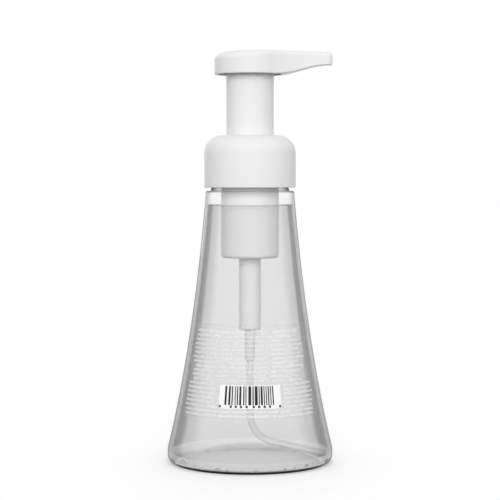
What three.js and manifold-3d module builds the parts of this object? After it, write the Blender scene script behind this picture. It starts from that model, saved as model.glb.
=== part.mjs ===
// A foaming hand soap bottle: a clear flared bottle with its liquid soap, and a press-down foam pump.
// Millimetres, +Z up. The origin is the middle of the foot, on the surface the bottle stands on.
// The spout points along +X and the rear label faces -Y.
import * as THREE from 'three';
import { mergeVertices } from 'three/addons/utils/BufferGeometryUtils.js';
import Module from 'manifold-3d';

const wasm = await Module();
wasm.setup();

// Facets around the large turned pieces, the pump's turned pieces and its small ones
const bodyFacets = 32;
const pumpFacets = 24;
const smallFacets = 16;

// Clearances
const seatGap = 0.2;
const slideGap = 0.3;
const liquidGap = 0.3;

// How far a cutting solid runs past what it cuts
const cutSpare = 1;

// Bottle body
const bottleWall = 0.9;
const baseWall = 1.2;
const footRingInset = 3.35;
const footRingWidth = 2.6;
const pushUpHeight = 7;
const pushUpRim = 1.2;
const heelHeight = 8;
const heelRadius = 39.55;
const heelBulge = 0.2;
const shoulderRadius = 21.3;
const shoulderHeight = 130;
const shoulderRound = 1.5;
const flareLower = { radius: 0.594, height: 0.253 };
const flareUpper = { radius: 0.2356, height: 0.5835 };
const flareSteps = 9;
const footCavity = { innerInset: 0.6, outerInset: 0.4, outerRise: 0.1 };
const heelCavity = { inset: 0.6, height: 3.6 };

// Bottle neck and its thread
const neckHeight = 20;
const neckWall = 1.5;
const neckPumpGap = 2.55;
const neckBead = { rise: 1, height: 1.6 };
const neckEdge = 0.3;
const threadPitch = 3.4;
const threadRadius = 1.05;
const threadTurns = 1.3;
const threadFirst = 6.6;
const threadSink = 0.1;
const closureThreadRadius = 0.9;

// Liquid and label
const headspace = 7.2;
const labelBottom = 25.2;
const labelHeight = 43.6;
const labelHalfAngle = THREE.MathUtils.degToRad(61.8);
const labelThickness = 0.15;
const labelGap = 0.05;

// Closure
const closureWall = 2.3;
const closureThreadRoom = 1.7;
const closureSkirtGap = 2.2;
const closureRound = 8.5;
const closureTopWall = 1.6;
const closureHubWall = 3.3;
const closureHubDrop = 1.3;
const closureEdge = 0.4;
const closureHoleGap = 0.5;

// Pump housing
const gasketThickness = 0.8;
const flangeThickness = 1.5;
const airWall = 1.1;
const airDepth = 52.3;
const airFloor = 1.4;
const liquidBore = 4;
const liquidWall = 1.2;
const liquidLength = 34.6;
const valvePort = 1.1;
const valvePortLength = 1.2;
const valveWebBelow = 1.5;
const inletSeatRise = 0.9;
const boreLeadIn = { width: 0.6, height: 0.8 };
const nippleLength = 14.5;
const nippleTaper = 1.5;
const ventRadius = 0.6;
const ventDrop = 10;

// Dip tube
const tubeRadius = 1.6;
const tubeBore = 0.9;
const nippleFit = 0.2;
const nippleWall = 0.65;
const tubeCornerHeight = 12.1;
const tubeBendReach = 12;
const tubeHeelGap = 2.45;
const tubeEndHeight = 4;
const tubeSteps = 18;
const tubeSides = 10;

// Inlet valve and spring
const inletBallRadius = 1.9;
const outletBallRadius = 1.8;
const ballPlay = 0.4;
const ballRest = 0.1;
const cageHeight = 4.4;
const cageRoof = 1;
const cageFit = 0.2;
const cageSlots = 3;
const cageSlotWidth = 1.2;
const springWire = 0.35;
const springRadius = 3.1;
const springTurns = 6;
const springStepsPerTurn = 12;

// Plunger
const pressStroke = 16;
const strokeSpare = 1.1;
const guideClearance = 0.4;
const guideCollarWall = 0.65;
const guideCollarFlange = 5.2;
const guideCollarThickness = 1.4;
const pistonFit = 0.25;
const pistonLipHeight = 6.5;
const pistonLipWaist = 0.3;
const pistonLipWall = 0.75;
const pistonLipEdge = 0.3;
const pistonLipRoot = 0.4;
const pistonDiscThickness = 1.4;
const pistonDiscRise = 1.5;
const pistonHubRadius = 4;
const pistonHubLip = 0.6;
const pistonHubHeight = 5;
const pistonHubDrop = 0.5;
const pistonSpigotWall = 0.8;
const pistonSpigotHeight = 2.6;
const pistonPorts = 4;
const pistonPortRadius = 0.9;
const pistonPortReach = 6.4;
const flapRadius = 8.4;
const flapThickness = 0.6;
const stemRadius = 2.6;
const stemBore = 1.5;
const stemFootRadius = 3.6;
const stemFootThickness = 0.8;
const stemCollarRadius = 3.3;
const stemCollarHeight = 0.8;
const stemCupRadius = 3.4;
const stemCupBore = 2.4;
const stemCupHeight = 11.7;
const stemCupFloor = 2.1;
const stemStop = { bore: 1.5, rise: 3.8, lead: 0.6, height: 0.8 };
const sealHeight = 4.9;
const sealDrop = 2.5;
const sealWaist = 0.35;
const sealFit = 0.15;

// Head and sleeve
const sleeveRadius = 11.4;
const sleeveWall = 1.2;
const sleeveShowing = 28.95;
const sleeveSocketDepth = 2.95;
const headHeight = 10.95;
const headRadius = 17;
const headWall = 1.6;
const headTopWall = 2.2;
const headEdge = 2.2;
const headBackRound = { length: 7.6, height: 3.9 };
const headRibs = 6;
const headRibWidth = 1.2;
const spoutReach = 39.3;
const spoutHalfWidth = 4.2;
const spoutTipHeight = 6.2;
const spoutTopFall = 0.2;
const spoutLeaveAngle = THREE.MathUtils.degToRad(55);
const spoutBlend = 14.5;
const spoutUnderStart = 11.2;
const spoutSweep = { start: 17.3, end: 11.3 };
const spoutLip = 1.3;
const ductWidth = 4.4;
const ductHeight = 3.2;
const ductFloor = 1.4;
const ductBossWall = 1.2;
const centreTubeRadius = 5;
const centreTubeUpperBore = 2.6;
const centreTubeRise = 1;

// Foaming meshes
const cartridgeWall = 0.8;
const cartridgeLength = 23.8;
const cartridgeRise = 2.2;
const screenThickness = 0.3;

// Radii that follow from the sizes above, from the sleeve outwards
const sleeveBore = sleeveRadius - sleeveWall;
const guideBore = sleeveRadius + guideClearance;
const guideRadius = guideBore + guideCollarWall;
const airBore = guideRadius + slideGap;
const airRadius = airBore + airWall;
const neckBore = airRadius + neckPumpGap;
const neckRadius = neckBore + neckWall;
const neckBeadRadius = neckRadius + neckBead.rise;
const closureBore = neckRadius + closureThreadRoom;
const closureRadius = closureBore + closureWall;
const footRingOuter = heelRadius - footRingInset;
const footRingInner = footRingOuter - footRingWidth;

// Heights that follow from the sizes above
const neckTop = shoulderHeight + neckHeight;
const liquidLevel = shoulderHeight - headspace;
const labelTop = labelBottom + labelHeight;
const closureBottom = shoulderHeight + closureSkirtGap;
const flangeBottom = neckTop + gasketThickness + seatGap / 2;
const flangeTop = flangeBottom + flangeThickness;
const airBottom = flangeBottom - airDepth;
const airFloorTop = airBottom + airFloor;
const liquidRadius = liquidBore + liquidWall;
const liquidBottom = airBottom - liquidLength;
const nippleRadius = tubeRadius + nippleFit + nippleWall;
const nippleBottom = liquidBottom - nippleLength;
const valveWebBottom = liquidBottom - valveWebBelow;
const inletBallBore = inletBallRadius + ballPlay;
const inletSeatBottom = liquidBottom + inletSeatRise;
const inletSeatTop = inletSeatBottom + inletBallBore - valvePort;
const cageBottom = inletSeatTop + seatGap;
const cageTop = cageBottom + cageHeight;
const guideFlangeBottom = flangeTop + seatGap;
const guideFlangeTop = guideFlangeBottom + guideCollarThickness;
const closureInnerTop = guideFlangeTop + seatGap + closureHubDrop;
const closureTop = closureInnerTop + closureTopWall;
const headBottom = closureTop + sleeveShowing;
const hubBottom = airFloorTop + strokeSpare + pressStroke;
const hubTop = hubBottom + pistonHubHeight;
const pistonBottom = hubBottom + pistonHubDrop;
const pistonTop = pistonBottom + pistonLipHeight;
const pistonRadius = airBore - pistonFit;
const discBottom = pistonBottom + pistonDiscRise;
const discTop = discBottom + pistonDiscThickness;
const guideBottom = pistonTop + slideGap;
const hubBore = stemRadius + pistonFit;
const stemCupBottom = hubTop + slideGap;
const stemCupTop = stemCupBottom + stemCupHeight;
const outletSeatBottom = stemCupBottom + stemCupFloor;
const outletSeatTop = outletSeatBottom + stemCupBore - valvePort;
const sealTop = airFloorTop - sealDrop;
const sealBottom = sealTop - sealHeight;
const stemFootTop = sealBottom - seatGap;
const stemBottom = stemFootTop - stemFootThickness;
const springBottom = cageTop + seatGap;
const springTop = stemBottom - seatGap;
const sleeveBottom = discTop + seatGap;
const sleeveTop = headBottom + sleeveSocketDepth;
const headTop = headBottom + headHeight;
const ribBottom = sleeveTop + slideGap;
const ductBottom = headTop - spoutTopFall - spoutTipHeight + ductFloor;
const centreTubeBore = stemCupRadius + slideGap;
const centreTubeBottom = outletSeatTop + centreTubeRise;
const cartridgeRadius = centreTubeBore - slideGap;
const lowerScreenBottom = stemCupTop + cartridgeRise - screenThickness - seatGap;
const cartridgeBottom = stemCupTop + cartridgeRise;
const cartridgeTop = cartridgeBottom + cartridgeLength;
const upperScreenBottom = cartridgeTop + seatGap;
const centreTubeStep = upperScreenBottom + screenThickness + seatGap;

// Materials
const plastic = (color, roughness) => new THREE.MeshStandardMaterial({ color, roughness, metalness: 0 });
const clear = (color, opacity) =>
  new THREE.MeshStandardMaterial({ color, roughness: 0.05, metalness: 0, transparent: true, opacity });
const clearPet = clear(0xf2f4f4, 0.25);
const soap = clear(0xdcdcdc, 0.5);
const labelFilm = plastic(0xe8e8e8, 0.45);
const whitePolypropylene = plastic(0xf1f1ef, 0.4);
const naturalPolypropylene = plastic(0xdadada, 0.35);
const naturalPolyethylene = plastic(0xe2e2de, 0.45);
const tubePlastic = plastic(0xd6d8d8, 0.3);
const gasketFoam = plastic(0xd0d0cc, 0.8);
const silicone = plastic(0xc9cccc, 0.55);
const nylonMesh = plastic(0xe6e6e6, 0.7);
const steel = new THREE.MeshStandardMaterial({ color: 0xb5b7b9, roughness: 0.3, metalness: 1 });

// Solids
const point = (radius, height) => new THREE.Vector2(radius, height);

// A closed outline turned once around the Z axis
function turned(outline, facets = pumpFacets) {
  return new THREE.LatheGeometry(outline, facets).rotateX(Math.PI / 2);
}

// A closed ring outline: its last point is its first one
const turnedRing = (outline, facets) => turned([...outline, outline[0].clone()], facets);

function block(width, depth, height, x, y, z) {
  return new THREE.BoxGeometry(width, depth, height).translate(x, y, z + height / 2);
}

function post(radius, bottom, top, facets, x = 0, y = 0) {
  return new THREE.CylinderGeometry(radius, radius, top - bottom, facets)
    .rotateX(Math.PI / 2)
    .translate(x, y, (top + bottom) / 2);
}

function solid(geometry) {
  const bare = geometry.clone();
  bare.deleteAttribute('normal');
  bare.deleteAttribute('uv');
  const merged = mergeVertices(bare, 1e-4);
  const corners = merged.index.array;
  const triangles = [];
  for (let i = 0; i < corners.length; i += 3) {
    const [a, b, c] = corners.slice(i, i + 3);
    if (a !== b && b !== c && c !== a) triangles.push(a, b, c);
  }
  return new wasm.Manifold(new wasm.Mesh({
    numProp: 3,
    vertProperties: new Float32Array(merged.attributes.position.array),
    triVerts: new Uint32Array(triangles),
  }));
}

function geometryOf(body) {
  const mesh = body.getMesh();
  const geometry = new THREE.BufferGeometry();
  geometry.setAttribute('position', new THREE.BufferAttribute(mesh.vertProperties, 3));
  geometry.setIndex(new THREE.BufferAttribute(mesh.triVerts, 1));
  geometry.computeVertexNormals();
  return geometry;
}

// Round of an outline about a centre, from one angle to another, without its first point
function arc(centre, rx, rz, from, to, steps) {
  return Array.from({ length: steps }, (_, i) => {
    const angle = from + (to - from) * (i + 1) / steps;
    return point(centre.x + rx * Math.cos(angle), centre.y + rz * Math.sin(angle));
  });
}

function polygon(radius, sides) {
  const corners = Array.from({ length: sides }, (_, i) => {
    const angle = 2 * Math.PI * i / sides;
    return point(radius * Math.cos(angle), radius * Math.sin(angle));
  });
  return new THREE.Shape(corners);
}

// A helix that climbs one pitch a turn; its ends can sink towards or away from the axis
class Helix extends THREE.Curve {
  constructor({ radius, bottom, pitch, turns, start = 0, sink = 0 }) {
    super();
    Object.assign(this, { radius, bottom, pitch, turns, start, sink });
  }

  getPoint(t, target = new THREE.Vector3()) {
    const fade = Math.max(0, 1 - 8 * Math.min(t, 1 - t));
    const radius = this.radius + this.sink * fade * fade;
    const angle = this.start + 2 * Math.PI * this.turns * t;
    const height = this.bottom + this.pitch * this.turns * t;
    return target.set(radius * Math.cos(angle), radius * Math.sin(angle), height);
  }
}

function swept(section, path, steps) {
  return new THREE.ExtrudeGeometry(section, { steps, extrudePath: path, bevelEnabled: false });
}

// Bottle: radius of its outside at a height on the flare, and its outlines
const flareBottom = point(heelRadius, heelHeight);
const flareTop = point(shoulderRadius, shoulderHeight - shoulderRound);
const onFlare = ({ radius, height }) => point(
  flareTop.x + (flareBottom.x - flareTop.x) * radius,
  flareBottom.y + (flareTop.y - flareBottom.y) * height,
);
const flare = new THREE.CubicBezierCurve(flareBottom, onFlare(flareLower), onFlare(flareUpper), flareTop);
const flarePoints = flare.getPoints(flareSteps);
const offset = (points, by) => points.map((p) => point(p.x + by, p.y));

// The foot's push-up: a shallow dome that drops steeply to the ring it stands on
const pushUp = [
  point(0, pushUpHeight),
  point(footRingInner * 0.5, pushUpHeight * 0.74),
  point(footRingInner - pushUpRim, pushUpRim),
];

function flareRadius(height) {
  const above = flarePoints.findIndex((p) => p.y >= height);
  const low = flarePoints[above - 1];
  const high = flarePoints[above];
  return low.x + (high.x - low.x) * (height - low.y) / (high.y - low.y);
}

// Inside the bottle, from the push-up's middle out to the heel, up the flare and under the shoulder
function cavityOutline(gap, top) {
  const floor = (r, z) => point(r, z + baseWall + gap);
  const inner = [
    ...pushUp.map((p) => floor(p.x, p.y)),
    floor(footRingInner + footCavity.innerInset, 0),
    floor(footRingOuter - footCavity.outerInset, footCavity.outerRise),
    point(heelRadius - bottleWall - gap - heelCavity.inset, heelCavity.height),
    ...offset(flarePoints, -bottleWall - gap),
  ];
  if (top <= flareTop.y) {
    const kept = inner.filter((p) => p.y < top - 0.5);
    return [...kept, point(flareRadius(top) - bottleWall - gap, top), point(0, top)];
  }
  return [
    ...inner,
    point(shoulderRadius - shoulderRound, shoulderHeight - bottleWall),
    point(neckBore, shoulderHeight - bottleWall + neckEdge),
    point(neckBore, top),
    point(0, top),
  ];
}

function makeBottle() {
  const heelCentre = point(footRingOuter, heelHeight * 0.5);
  const shoulderCentre = point(shoulderRadius - shoulderRound, flareTop.y);
  const outside = [
    ...pushUp,
    point(footRingInner, 0),
    point(footRingOuter, 0),
    ...arc(heelCentre, heelRadius + heelBulge - footRingOuter, heelHeight * 0.5, -Math.PI / 2, 0, 4),
    ...flarePoints,
    ...arc(shoulderCentre, shoulderRound, shoulderRound, 0, Math.PI / 2, 3),
    point(neckBeadRadius, shoulderHeight),
    point(neckBeadRadius, shoulderHeight + neckBead.height),
    point(neckRadius, shoulderHeight + neckBead.height + neckEdge),
    point(neckRadius, neckTop - neckEdge),
    point(neckRadius - neckEdge, neckTop),
    point(0, neckTop),
  ];
  const thread = swept(
    polygon(threadRadius, 8),
    new Helix({
      radius: neckRadius,
      bottom: shoulderHeight + threadFirst,
      pitch: threadPitch,
      turns: threadTurns,
      sink: -threadRadius - threadSink,
    }),
    Math.round(bodyFacets * threadTurns),
  );
  return solid(turned(outside, bodyFacets))
    .add(solid(thread))
    .subtract(solid(turned(cavityOutline(0, neckTop + cutSpare), bodyFacets)));
}

// Label film: a slice of the flare, just outside the bottle's wall
function makeLabel() {
  const between = flarePoints.map((p) => p.y).filter((z) => z > labelBottom && z < labelTop);
  const heights = [labelBottom, ...between, labelTop];
  const wall = heights.map((z) => point(flareRadius(z) + labelGap, z));
  const outline = [...wall, ...offset(wall, labelThickness).reverse()];
  const reach = 3 * heelRadius;
  const slice = new THREE.Shape([
    point(0, 0),
    point(-reach * Math.sin(labelHalfAngle), -reach * Math.cos(labelHalfAngle)),
    point(-reach, -2 * reach),
    point(reach, -2 * reach),
    point(reach * Math.sin(labelHalfAngle), -reach * Math.cos(labelHalfAngle)),
  ]);
  const wedge = new THREE.ExtrudeGeometry(slice, { depth: labelTop + cutSpare, bevelEnabled: false });
  return solid(turnedRing(outline.reverse(), bodyFacets)).intersect(solid(wedge));
}

// Dip tube: straight down from the nipple, one bend, then along the floor to the heel
function tubePath(extra) {
  const corner = new THREE.Vector3(0, 0, tubeCornerHeight);
  const start = new THREE.Vector3(0, 0, valveWebBottom - seatGap);
  const end = new THREE.Vector3(heelRadius - bottleWall - tubeHeelGap, 0, tubeEndHeight);
  const along = end.clone().sub(corner).normalize();
  const bendStart = new THREE.Vector3(0, 0, tubeCornerHeight + tubeBendReach);
  const bendEnd = corner.clone().addScaledVector(along, tubeBendReach);
  const path = new THREE.CurvePath();
  path.add(new THREE.LineCurve3(start, bendStart));
  path.add(new THREE.QuadraticBezierCurve3(bendStart, corner, bendEnd));
  path.add(new THREE.LineCurve3(bendEnd, end.addScaledVector(along, extra)));
  return path;
}

function makeDipTube() {
  const section = polygon(tubeRadius, tubeSides);
  section.holes.push(polygon(tubeBore, tubeSides));
  return swept(section, tubePath(0), tubeSteps);
}

// Liquid: what fills the bottle to its level around the pump
function makeSoap() {
  const around = liquidGap;
  const pump = turned([
    point(0, nippleBottom - around),
    point(nippleRadius + around, nippleBottom - around),
    point(nippleRadius + around, liquidBottom - around),
    point(liquidRadius + around, liquidBottom - around),
    point(liquidRadius + around, airBottom - around),
    point(airRadius + around, airBottom - around),
    point(airRadius + around, liquidLevel + cutSpare),
    point(0, liquidLevel + cutSpare),
  ]);
  const tube = swept(polygon(tubeRadius + around, tubeSides), tubePath(around), tubeSteps);
  return solid(turned(cavityOutline(around, liquidLevel), bodyFacets))
    .subtract(solid(pump))
    .subtract(solid(tube));
}

function makeClosure() {
  const roundCentre = point(closureRadius - closureRound, closureTop - closureRound);
  const innerRound = closureRound - closureWall;
  const innerCentre = point(closureBore - innerRound, closureInnerTop - innerRound);
  const holeRadius = sleeveRadius + closureHoleGap;
  const hubRadius = holeRadius + closureHubWall;
  const hubAngle = Math.acos((hubRadius - innerCentre.x) / innerRound);
  const pressBottom = closureInnerTop - closureHubDrop;
  const shell = turnedRing([
    point(closureBore, closureBottom),
    point(closureRadius - closureEdge, closureBottom),
    point(closureRadius, closureBottom + closureEdge),
    point(closureRadius, closureTop - closureRound),
    ...arc(roundCentre, closureRound, closureRound, 0, Math.PI / 2, 6),
    point(holeRadius, closureTop),
    point(holeRadius, pressBottom),
    point(hubRadius, pressBottom),
    ...arc(innerCentre, innerRound, innerRound, hubAngle, 0, 4),
  ], bodyFacets);
  const thread = swept(
    polygon(closureThreadRadius, 8),
    new Helix({
      radius: closureBore,
      bottom: shoulderHeight + threadFirst - threadPitch / 2,
      pitch: threadPitch,
      turns: threadTurns,
      sink: threadRadius,
    }),
    Math.round(bodyFacets * threadTurns),
  );
  const skirt = post(closureRadius - closureWall / 2, closureBottom, closureTop - closureRound, bodyFacets);
  return solid(shell).add(solid(thread).intersect(solid(skirt)));
}

function makeGasket() {
  const inner = airRadius + slideGap;
  const bottom = neckTop + seatGap / 2;
  return turnedRing([
    point(inner, bottom),
    point(neckRadius - 0.2, bottom),
    point(neckRadius - 0.2, flangeBottom - seatGap / 2),
    point(inner, flangeBottom - seatGap / 2),
  ]);
}

// Housing: flange, air cylinder, liquid cylinder, valve seat and nipple in one moulding
function makeHousing() {
  const nippleBore = tubeRadius + nippleFit;
  const body = turnedRing([
    point(airBore, flangeTop),
    point(airBore, airFloorTop),
    point(liquidBore + boreLeadIn.width, airFloorTop),
    point(liquidBore, airFloorTop - boreLeadIn.height),
    point(liquidBore, inletSeatTop),
    point(inletBallBore, inletSeatTop),
    point(valvePort, inletSeatBottom),
    point(valvePort, valveWebBottom),
    point(nippleBore, valveWebBottom),
    point(nippleBore, nippleBottom),
    point(nippleRadius - 0.25, nippleBottom),
    point(nippleRadius, nippleBottom + nippleTaper),
    point(nippleRadius, liquidBottom),
    point(liquidRadius, liquidBottom),
    point(liquidRadius, airBottom),
    point(airRadius, airBottom),
    point(airRadius, flangeBottom),
    point(neckRadius, flangeBottom),
    point(neckRadius, flangeTop),
  ]);
  const vent = new THREE.CylinderGeometry(ventRadius, ventRadius, 2 * airWall + 2, 8)
    .translate(0, airBore + airWall / 2, neckTop - ventDrop);
  return solid(body).subtract(solid(vent));
}

function makeGuideCollar() {
  return turnedRing([
    point(guideBore, guideFlangeTop),
    point(guideBore, guideBottom),
    point(guideRadius, guideBottom),
    point(guideRadius, guideFlangeBottom),
    point(sleeveRadius + guideCollarFlange, guideFlangeBottom),
    point(sleeveRadius + guideCollarFlange, guideFlangeTop),
  ]);
}

// A ball that rests just clear of a 45 degree seat
function ballOnSeat(radius, seatBottom) {
  const apex = seatBottom - valvePort;
  return new THREE.SphereGeometry(radius, 12, 8)
    .rotateX(Math.PI / 2)
    .translate(0, 0, apex + (radius + ballRest) * Math.SQRT2);
}

// Cage: holds the inlet ball down and carries the spring; slots let the liquid past the ball
function makeCage() {
  const outer = liquidBore - cageFit;
  const cage = solid(turnedRing([
    point(inletBallBore, cageBottom),
    point(outer, cageBottom),
    point(outer, cageTop),
    point(valvePort, cageTop),
    point(valvePort, cageTop - cageRoof),
    point(inletBallBore, cageTop - cageRoof),
  ], smallFacets));
  return Array.from({ length: cageSlots }, (_, i) => 2 * Math.PI * i / cageSlots).reduce((body, angle) => {
    const reach = inletBallBore / 2 + 0.3;
    const slot = block(
      inletBallBore,
      cageSlotWidth,
      cageRoof + 2 * cutSpare,
      reach,
      0,
      cageTop - cageRoof - cutSpare,
    );
    return body.subtract(solid(slot.rotateZ(angle)));
  }, cage);
}

function makeSpring() {
  const rise = springTop - springBottom - 2 * springWire;
  const path = new Helix({
    radius: springRadius,
    bottom: springBottom + springWire,
    pitch: rise / springTurns,
    turns: springTurns,
  });
  return swept(polygon(springWire, 6), path, springTurns * springStepsPerTurn);
}

function makeLiquidPiston() {
  const outer = liquidBore - sealFit;
  const inner = stemRadius + sealFit;
  return turnedRing([
    point(inner, sealBottom),
    point(outer, sealBottom),
    point(outer - sealWaist, sealBottom + sealHeight * 0.3),
    point(outer - sealWaist, sealBottom + sealHeight * 0.7),
    point(outer, sealTop),
    point(inner, sealTop),
  ], smallFacets);
}

// Stem: carries the liquid piston at its foot, the air piston's hub, and the outlet valve in its cup
function makeStem() {
  const collarBottom = sealTop + seatGap;
  const stopBottom = outletSeatTop + stemStop.rise;
  const stopTop = stopBottom + 2 * stemStop.lead + stemStop.height;
  return turnedRing([
    point(stemBore, stemBottom),
    point(stemFootRadius, stemBottom),
    point(stemFootRadius, stemFootTop),
    point(stemRadius, stemFootTop),
    point(stemRadius, collarBottom),
    point(stemCollarRadius, collarBottom),
    point(stemCollarRadius, collarBottom + stemCollarHeight),
    point(stemRadius, collarBottom + stemCollarHeight),
    point(stemRadius, stemCupBottom),
    point(stemCupRadius, stemCupBottom),
    point(stemCupRadius, stemCupTop),
    point(stemCupBore, stemCupTop),
    point(stemCupBore, stopTop),
    point(stemStop.bore, stopTop - stemStop.lead),
    point(stemStop.bore, stopBottom + stemStop.lead),
    point(stemCupBore, stopBottom),
    point(stemCupBore, outletSeatTop),
    point(valvePort, outletSeatBottom),
    point(valvePort, outletSeatBottom - valvePortLength),
    point(stemBore, outletSeatBottom - 1.5 * valvePortLength),
  ], smallFacets);
}

// Air piston: a sealing lip, a disc with air ports, a spigot for the sleeve's foot, and a hub on the stem
function makeAirPiston() {
  const lipInner = pistonRadius - pistonLipWall;
  const waist = pistonRadius - pistonLipWaist;
  const spigot = sleeveBore - slideGap;
  const body = solid(turnedRing([
    point(hubBore, hubBottom),
    point(pistonHubRadius + pistonHubLip, hubBottom),
    point(pistonHubRadius, hubBottom + pistonHubLip),
    point(pistonHubRadius, discBottom),
    point(lipInner - pistonLipRoot, discBottom),
    point(pistonRadius - pistonLipEdge, pistonBottom),
    point(pistonRadius, pistonBottom),
    point(waist, discBottom),
    point(waist, pistonTop - pistonDiscRise),
    point(pistonRadius, pistonTop),
    point(lipInner, pistonTop),
    point(lipInner, discTop),
    point(spigot, discTop),
    point(spigot, discTop + pistonSpigotHeight),
    point(spigot - pistonSpigotWall, discTop + pistonSpigotHeight),
    point(spigot - pistonSpigotWall, discTop),
    point(pistonHubRadius, discTop),
    point(pistonHubRadius, hubTop),
    point(hubBore, hubTop),
  ]));
  return Array.from({ length: pistonPorts }, (_, i) => 2 * Math.PI * (i + 0.5) / pistonPorts)
    .reduce((piston, angle) => piston.subtract(solid(post(
      pistonPortRadius,
      discBottom - cutSpare,
      discTop + cutSpare,
      8,
      pistonPortReach * Math.cos(angle),
      pistonPortReach * Math.sin(angle),
    ))), body);
}

function makeFlap() {
  const top = discBottom - seatGap / 2;
  const inner = pistonHubRadius + 0.25;
  return turnedRing([
    point(inner, top - flapThickness),
    point(flapRadius, top - flapThickness),
    point(flapRadius, top),
    point(inner, top),
  ]);
}

function makeSleeve() {
  return turnedRing([
    point(sleeveBore, sleeveBottom),
    point(sleeveRadius, sleeveBottom),
    point(sleeveRadius, sleeveTop),
    point(sleeveBore, sleeveTop),
  ]);
}

function makeCartridge() {
  const bore = cartridgeRadius - cartridgeWall;
  return turnedRing([
    point(bore, cartridgeBottom),
    point(cartridgeRadius, cartridgeBottom),
    point(cartridgeRadius, cartridgeTop),
    point(bore, cartridgeTop),
  ], smallFacets);
}

const makeScreen = (bottom) => post(cartridgeRadius, bottom, bottom + screenThickness, smallFacets);

// Head's outline from above: a round back that draws in to the spout
function headPlan() {
  const leave = point(headRadius * Math.cos(spoutLeaveAngle), headRadius * Math.sin(spoutLeaveAngle));
  const pull = point(
    leave.x + spoutBlend * Math.sin(spoutLeaveAngle),
    leave.y - spoutBlend * Math.cos(spoutLeaveAngle),
  );
  const plan = new THREE.Shape();
  plan.moveTo(spoutReach, -spoutHalfWidth);
  plan.lineTo(spoutReach, spoutHalfWidth);
  plan.quadraticCurveTo(pull.x, pull.y, leave.x, leave.y);
  plan.absarc(0, 0, headRadius, spoutLeaveAngle, 2 * Math.PI - spoutLeaveAngle, false);
  plan.quadraticCurveTo(pull.x, -pull.y, spoutReach, -spoutHalfWidth);
  return plan;
}

// Head's outline from the side: a level top and a spout whose underside sweeps up
function headSide() {
  const underside = headTop - spoutTopFall - spoutTipHeight;
  const side = new THREE.Shape();
  side.moveTo(-headRadius - cutSpare, headBottom);
  side.lineTo(spoutUnderStart, headBottom);
  side.bezierCurveTo(
    spoutReach - spoutSweep.start, headBottom,
    spoutReach - spoutSweep.end, underside,
    spoutReach - spoutLip, underside,
  );
  side.lineTo(spoutReach + cutSpare, underside);
  side.lineTo(spoutReach + cutSpare, headTop - spoutTopFall);
  side.lineTo(spoutUnderStart, headTop);
  side.lineTo(-headRadius - cutSpare, headTop);
  return side;
}

// The head's rounded top edge, which grows from the spout's small one to the back's wide one
function softenBack(geometry) {
  const corners = geometry.attributes.position;
  const leaveX = headRadius * Math.cos(spoutLeaveAngle);
  for (let i = 0; i < corners.count; i += 1) {
    const [x, y, z] = [corners.getX(i), corners.getY(i), corners.getZ(i)];
    const drop = headTop - z;
    if (drop > headEdge + 0.01 || x > leaveX) continue;
    const share = THREE.MathUtils.smoothstep(leaveX - x, 0, headRadius);
    const inset = (headRadius - Math.hypot(x, y)) * (1 + share * (headBackRound.length / headEdge - 1));
    const scale = (headRadius - inset) / Math.hypot(x, y);
    const height = headTop - drop * (1 + share * (headBackRound.height / headEdge - 1));
    corners.setXYZ(i, x * scale, y * scale, height);
  }
  return geometry;
}

function makeHead() {
  const deep = headEdge + cutSpare;
  const prism = softenBack(new THREE.ExtrudeGeometry(headPlan(), {
    depth: headHeight + deep - headEdge,
    curveSegments: 9,
    bevelThickness: headEdge,
    bevelSize: headEdge,
    bevelOffset: -headEdge,
    bevelSegments: 3,
  }).translate(0, 0, headBottom - deep));
  const sideOptions = { depth: 3 * headRadius, curveSegments: 6, bevelEnabled: false };
  const side = new THREE.ExtrudeGeometry(headSide(), sideOptions)
    .translate(0, 0, -1.5 * headRadius)
    .rotateX(Math.PI / 2);
  const ceiling = headTop - headTopWall;
  const pocket = post(headRadius - headWall, headBottom - cutSpare, ceiling, pumpFacets);
  const tube = post(centreTubeRadius, centreTubeBottom, ceiling + cutSpare, smallFacets);
  const bossWidth = ductWidth + 2 * ductBossWall;
  const bossLength = headRadius - headWall + 0.5;
  const bossHeight = ceiling + 0.5 - ribBottom;
  const boss = block(bossLength, bossWidth, bossHeight, bossLength / 2, 0, ribBottom);
  const rib = () => block(bossLength - 3, headRibWidth, bossHeight, bossLength / 2 + 1.5, 0, ribBottom);
  const bore = turned([
    point(0, centreTubeBottom - cutSpare),
    point(centreTubeBore, centreTubeBottom - cutSpare),
    point(centreTubeBore, centreTubeStep),
    point(centreTubeUpperBore, centreTubeStep),
    point(centreTubeUpperBore, ductBottom + ductHeight),
    point(0, ductBottom + ductHeight),
  ], smallFacets);
  const ductLength = spoutReach + 2 * cutSpare;
  const duct = block(ductLength, ductWidth, ductHeight, ductLength / 2, 0, ductBottom);
  let head = solid(prism).intersect(solid(side)).subtract(solid(pocket)).add(solid(tube)).add(solid(boss));
  for (let i = 1; i < headRibs; i += 1) head = head.add(solid(rib().rotateZ(2 * Math.PI * i / headRibs)));
  return head.subtract(solid(bore)).subtract(solid(duct));
}

// Assembly
const soapBottle = new THREE.Group();

function place(name, shape, material) {
  const geometry = shape.isBufferGeometry ? shape : geometryOf(shape);
  const mesh = new THREE.Mesh(geometry, material);
  mesh.name = name;
  soapBottle.add(mesh);
}

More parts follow.
